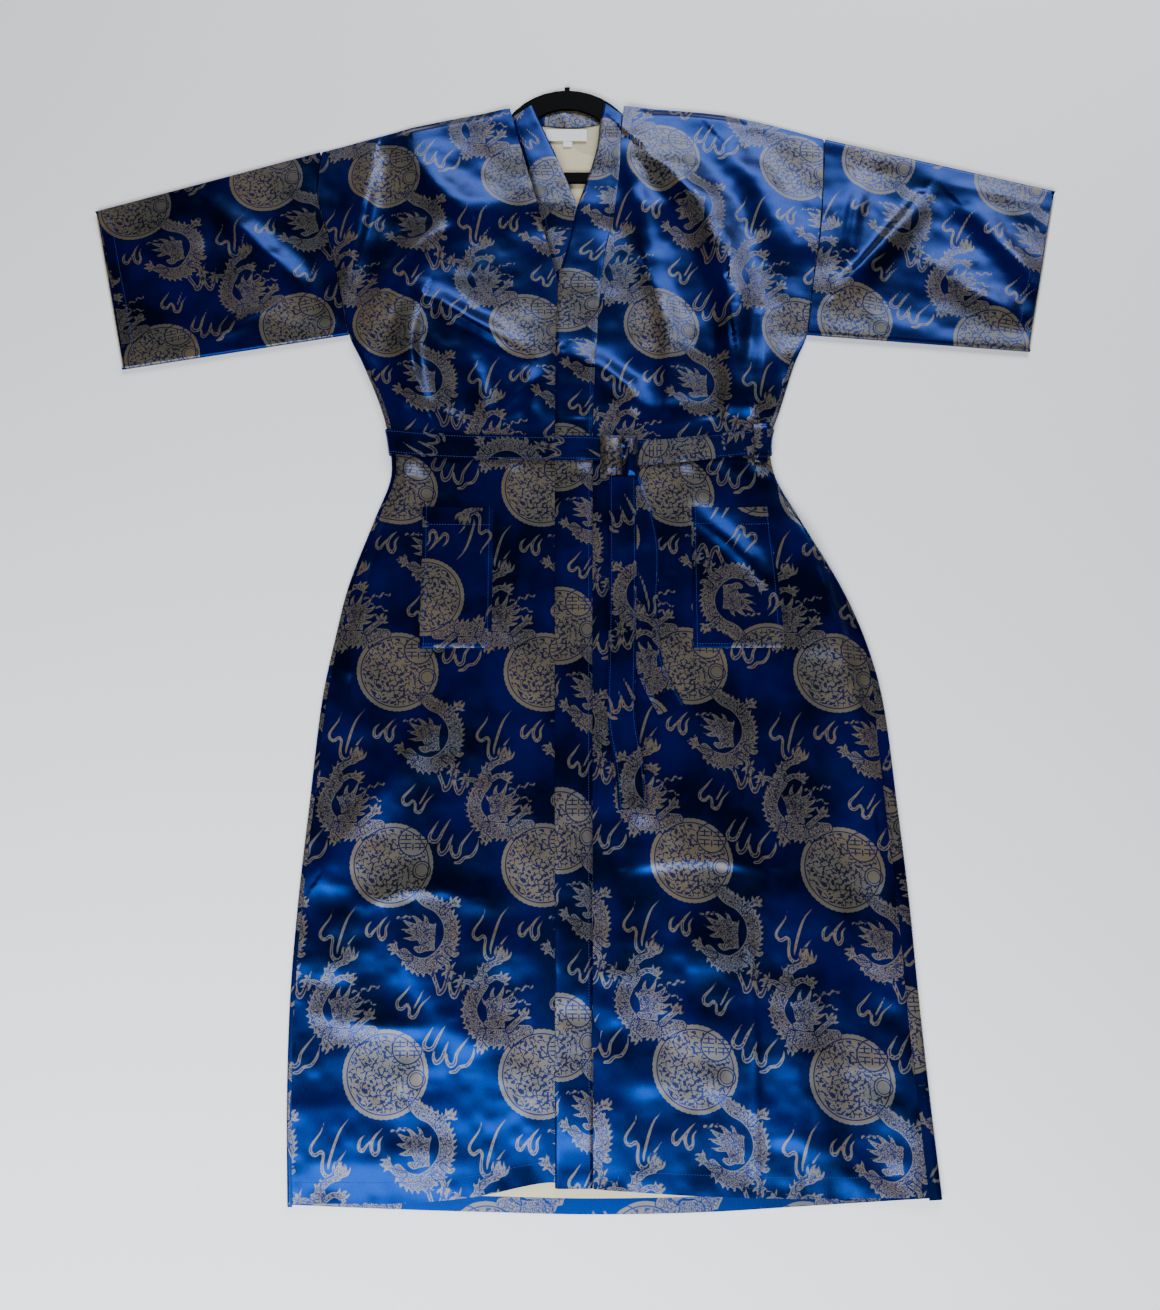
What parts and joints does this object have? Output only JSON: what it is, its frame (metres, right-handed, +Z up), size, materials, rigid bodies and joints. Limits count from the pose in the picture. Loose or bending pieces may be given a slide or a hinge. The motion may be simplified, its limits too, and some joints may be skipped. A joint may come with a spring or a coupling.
{
  "type": "kimono robe",
  "caption": "Long kimono-style robe of figured satin with wide sleeves, patch pockets and a tie belt, laid flat on its back over a slim hanger.",
  "frame": {"origin": "on the surface that the robe lies on, under the middle of its length and of its span from cuff to cuff", "axes": "+X towards the wearer's left cuff, +Y from the hem to the neck, +Z up from the surface through the front of the robe"},
  "size_m": [1.245, 1.378, 0.0258],
  "materials": {
    "robe_satin": "glossy blue satin with a matt silver-grey figured weave, cream on its reverse",
    "label_weave": "matt woven ribbon",
    "hanger_plastic": "satin black"
  },
  "bodies": {
    "root": {"back": "robe_satin", "front_right": "robe_satin", "front_left": "robe_satin", "sleeve_right": "robe_satin", "sleeve_left": "robe_satin", "band_right": "robe_satin", "band_left": "robe_satin", "band_neck": "robe_satin", "pocket_right": "robe_satin", "pocket_left": "robe_satin", "belt_waist": "robe_satin", "belt_knot": "robe_satin", "belt_end_under": "robe_satin", "belt_end_over": "robe_satin", "belt_loop": "robe_satin", "neck_label": "label_weave", "size_tab": "label_weave", "hanger": "hanger_plastic"}
  },
  "joints": []
}
